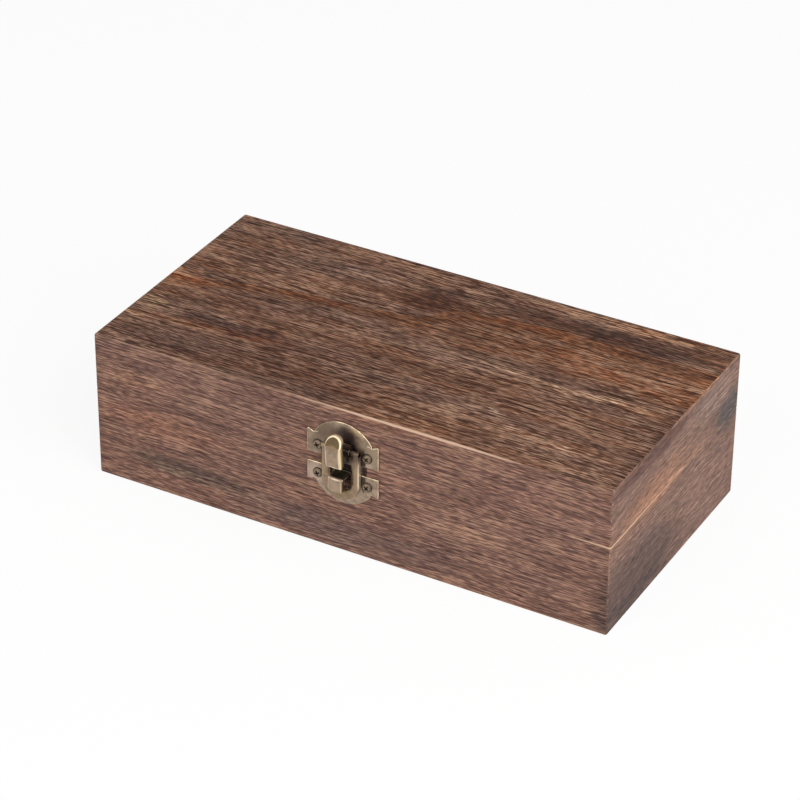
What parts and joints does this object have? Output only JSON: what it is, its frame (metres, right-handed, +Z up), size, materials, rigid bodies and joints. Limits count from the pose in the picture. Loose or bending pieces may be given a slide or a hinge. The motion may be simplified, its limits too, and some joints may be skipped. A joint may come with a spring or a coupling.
{
  "type": "wooden storage box",
  "caption": "Small oblong stained-wood box with a lid hinged at the back and a sprung antique-brass press latch on the front.",
  "frame": {"origin": "centre of the box's underside, on the surface that it stands on", "axes": "+X along the length to the right as seen from the latch, +Y from the latch to the hinges, +Z up"},
  "size_m": [0.2, 0.1105, 0.057],
  "materials": {
    "stained_wood": "dark walnut-brown stain on open-pored wood, matt",
    "latch_plate_brass": "antique brass plating, brushed, dark in the recesses",
    "hasp_brass": "antique brass plating, rubbed bright on the edges",
    "latch_screw_brass": "antique brass plating with dark cross slots",
    "hinge_brass": "antique brass plating",
    "hinge_screw_brass": "antique brass plating with dark cross slots",
    "spring_wire": "bright spring wire"
  },
  "bodies": {
    "base": {"base_bottom": "stained_wood", "base_front": "stained_wood", "base_back": "stained_wood", "base_left": "stained_wood", "base_right": "stained_wood", "hinge_left_base_leaf": "hinge_brass", "hinge_right_base_leaf": "hinge_brass", "hinge_left_pin": "hinge_brass", "hinge_right_pin": "hinge_brass", "hinge_base_screws": "hinge_screw_brass", "latch_base_plate": "latch_plate_brass", "latch_base_screws": "latch_screw_brass"},
    "lid": {"lid_top": "stained_wood", "lid_front": "stained_wood", "lid_back": "stained_wood", "lid_left": "stained_wood", "lid_right": "stained_wood", "hinge_left_lid_leaf": "hinge_brass", "hinge_right_lid_leaf": "hinge_brass", "hinge_lid_screws": "hinge_screw_brass", "latch_lid_plate": "latch_plate_brass", "latch_lid_screws": "latch_screw_brass", "latch_pin": "hasp_brass", "latch_spring": "spring_wire"},
    "hasp": {"hasp_frame": "hasp_brass", "thumb_lever": "hasp_brass", "lever_rivet": "hasp_brass"}
  },
  "joints": [
    {"name": "lid_hinge", "type": "hinge", "parent": "base", "child": "lid", "pos_m": [0, 0.0514, 0.035], "axis": [-1, 0, 0], "range_deg": [0, 170]},
    {"name": "hasp_pivot", "type": "hinge", "parent": "lid", "child": "hasp", "pos_m": [0, -0.0521, 0.0424], "axis": [-1, 0, 0], "range_deg": [0, 20], "stiffness_Nm_per_rad": 0.01, "springref_deg": -17.19, "deforming": ["latch_spring"]}
  ]
}
